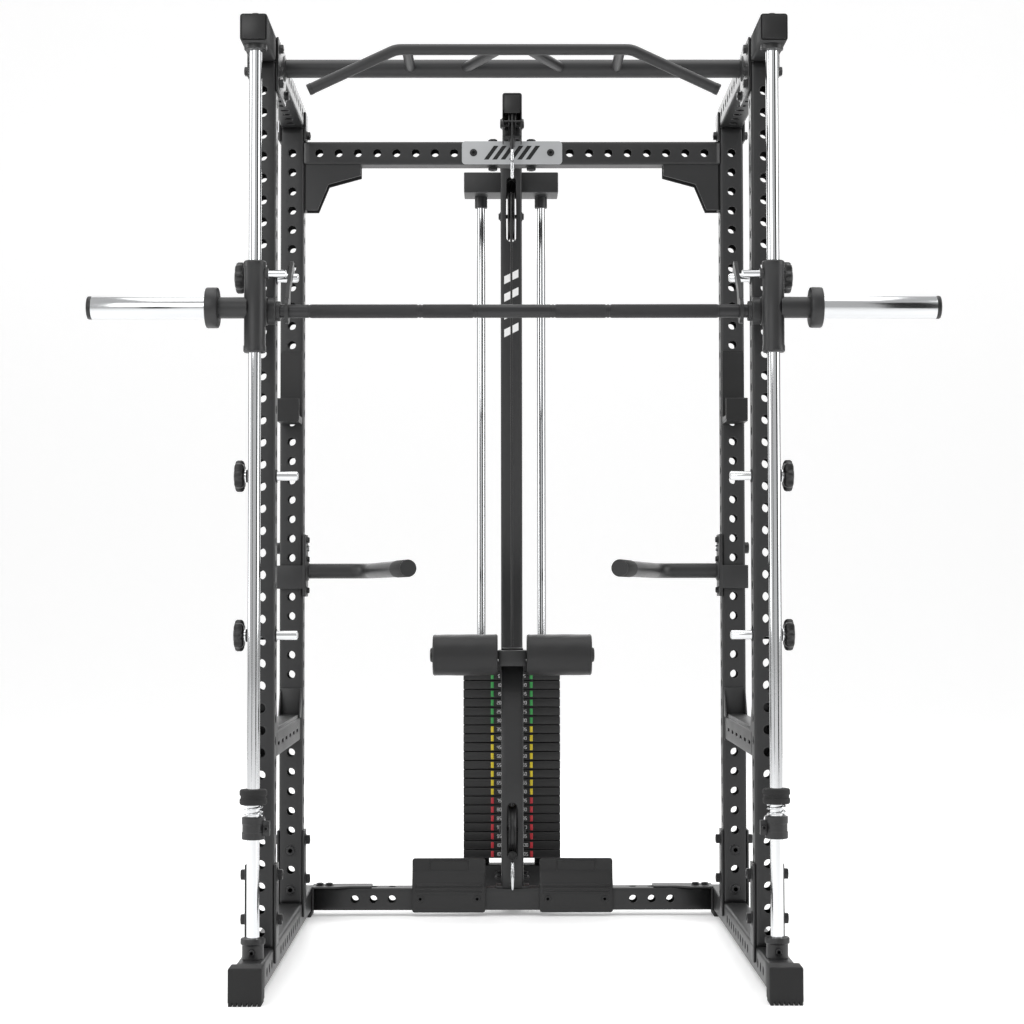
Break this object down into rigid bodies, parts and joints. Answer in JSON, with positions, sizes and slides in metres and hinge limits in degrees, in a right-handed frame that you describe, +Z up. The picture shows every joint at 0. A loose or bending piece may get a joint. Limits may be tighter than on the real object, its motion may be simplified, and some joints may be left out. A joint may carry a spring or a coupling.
{
  "type": "power cage",
  "caption": "Half rack with a guided bar on two chrome rods, pull-up bar, dip handles, safety arms and a rear lat and low-row weight tower",
  "frame": {"origin": "on the floor, in the middle of the footprint", "axes": "+Z up, +Y from the open front towards the weight tower, +X to the right of a person facing the rack"},
  "size_m": [1.875, 1.728, 2.15],
  "materials": {
    "powder_coat": "fine-textured charcoal powder coat",
    "chrome": "bright chrome plating",
    "rubber": "moulded black rubber",
    "plastic": "moulded black plastic",
    "foam": "dense foam with a smooth skin",
    "silver": "brushed and clear-coated plate",
    "stack_steel": "satin black paint on cast plates",
    "cable": "plastic-coated wire rope"
  },
  "bodies": {
    "frame": {"runner_left": "powder_coat", "runner_right": "powder_coat", "upright_front_left": "powder_coat", "upright_front_right": "powder_coat", "upright_rear_left": "powder_coat", "upright_rear_right": "powder_coat", "side_beam_left": "powder_coat", "side_beam_right": "powder_coat", "dip_handle_left": "powder_coat", "dip_handle_right": "powder_coat", "safety_arm_left": "powder_coat", "safety_arm_right": "powder_coat", "guide_rod_left": "chrome", "guide_rod_right": "chrome", "stack_rod_left": "chrome", "stack_rod_right": "chrome", "front_shoe_left": "rubber", "front_shoe_right": "rubber", "rear_foot_left": "rubber", "rear_foot_right": "rubber", "bar_holder_left": "plastic", "bar_holder_right": "plastic", "foot_plate_left": "plastic", "foot_plate_right": "plastic", "floor_crossmember": "powder_coat", "rear_top_crossbeam": "powder_coat", "pull_up_bar": "powder_coat", "tower_base": "powder_coat", "mast": "powder_coat", "boom": "powder_coat", "stack_head": "powder_coat", "front_post": "powder_coat", "roller_bracket": "powder_coat", "name_plate": "silver", "resting_plates": "stack_steel", "lat_hook": "chrome", "low_hook": "chrome", "lat_cable": "cable", "low_cable": "cable"},
    "carriages": {"carriage_left": "powder_coat", "carriage_right": "powder_coat"},
    "bar": {"guided_bar": "powder_coat"},
    "bumper_body_left": {"bumper_left": "rubber", "bumper_spring_left": "chrome"},
    "bumper_body_right": {"bumper_right": "rubber", "bumper_spring_right": "chrome"},
    "roller_body_left": {"thigh_roller_left": "foam"},
    "roller_body_right": {"thigh_roller_right": "foam"},
    "boom_front_wheel": {"boom_front_pulley": "plastic"},
    "boom_rear_wheel": {"boom_rear_pulley": "plastic"},
    "mast_wheel": {"mast_pulley": "plastic"},
    "low_wheel": {"low_pulley": "plastic"},
    "lifted_stack": {"lifted_plates": "stack_steel"},
    "catch_pin_top_left_body": {"catch_pin_top_left": "chrome"},
    "catch_pin_top_right_body": {"catch_pin_top_right": "chrome"},
    "catch_pin_middle_left_body": {"catch_pin_middle_left": "chrome"},
    "catch_pin_middle_right_body": {"catch_pin_middle_right": "chrome"},
    "catch_pin_low_left_body": {"catch_pin_low_left": "chrome"},
    "catch_pin_low_right_body": {"catch_pin_low_right": "chrome"}
  },
  "joints": [
    {"name": "carriage_slide", "type": "slide", "parent": "frame", "child": "carriages", "axis": [0, 0, 1], "range_m": [-0.9, 0.45]},
    {"name": "bar_turn", "type": "hinge", "parent": "carriages", "child": "bar", "pos_m": [0, -0.651, 1.495], "axis": [1, 0, 0], "range_deg": [0, 55]},
    {"name": "bumper_left_travel", "type": "slide", "parent": "frame", "child": "bumper_body_left", "axis": [0, 0, 1], "range_m": [-0.012, 0], "stiffness_N_per_m": 6000, "springref_m": 0.0005, "deforming": ["bumper_spring_left"]},
    {"name": "bumper_right_travel", "type": "slide", "parent": "frame", "child": "bumper_body_right", "axis": [0, 0, 1], "range_m": [-0.012, 0], "stiffness_N_per_m": 6000, "springref_m": 0.0005, "deforming": ["bumper_spring_right"]},
    {"name": "catch_pin_top_left_pull", "type": "slide", "parent": "frame", "child": "catch_pin_top_left_body", "axis": [-1, 0, 0], "range_m": [0, 0.05]},
    {"name": "catch_pin_top_right_pull", "type": "slide", "parent": "frame", "child": "catch_pin_top_right_body", "axis": [1, 0, 0], "range_m": [0, 0.05]},
    {"name": "catch_pin_middle_left_pull", "type": "slide", "parent": "frame", "child": "catch_pin_middle_left_body", "axis": [-1, 0, 0], "range_m": [0, 0.05]},
    {"name": "catch_pin_middle_right_pull", "type": "slide", "parent": "frame", "child": "catch_pin_middle_right_body", "axis": [1, 0, 0], "range_m": [0, 0.05]},
    {"name": "catch_pin_low_left_pull", "type": "slide", "parent": "frame", "child": "catch_pin_low_left_body", "axis": [-1, 0, 0], "range_m": [0, 0.05]},
    {"name": "catch_pin_low_right_pull", "type": "slide", "parent": "frame", "child": "catch_pin_low_right_body", "axis": [1, 0, 0], "range_m": [0, 0.05]},
    {"name": "roller_left_spin", "type": "hinge", "parent": "frame", "child": "roller_body_left", "pos_m": [0, 0.405, 0.702], "axis": [1, 0, 0], "continuous": true},
    {"name": "roller_right_spin", "type": "hinge", "parent": "frame", "child": "roller_body_right", "pos_m": [0, 0.405, 0.702], "axis": [1, 0, 0], "continuous": true},
    {"name": "stack_lift", "type": "slide", "parent": "frame", "child": "lifted_stack", "axis": [0, 0, 1], "range_m": [0, 0.9]},
    {"name": "boom_front_spin", "type": "hinge", "parent": "frame", "child": "boom_front_wheel", "pos_m": [0, 0.105, 2.077], "axis": [1, 0, 0], "continuous": true},
    {"name": "boom_rear_spin", "type": "hinge", "parent": "frame", "child": "boom_rear_wheel", "pos_m": [0, 0.7152, 2.084], "axis": [1, 0, 0], "continuous": true},
    {"name": "mast_wheel_spin", "type": "hinge", "parent": "frame", "child": "mast_wheel", "pos_m": [0, 0.641, 1.932], "axis": [1, 0, 0], "continuous": true},
    {"name": "low_wheel_spin", "type": "hinge", "parent": "frame", "child": "low_wheel", "pos_m": [0, 0.45, 0.229], "axis": [1, 0, 0], "continuous": true}
  ],
  "couplings": [
    {"joint": "boom_front_spin", "follows": "stack_lift", "rad_per_m": 23.923},
    {"joint": "boom_rear_spin", "follows": "stack_lift", "rad_per_m": 28.736}
  ]
}
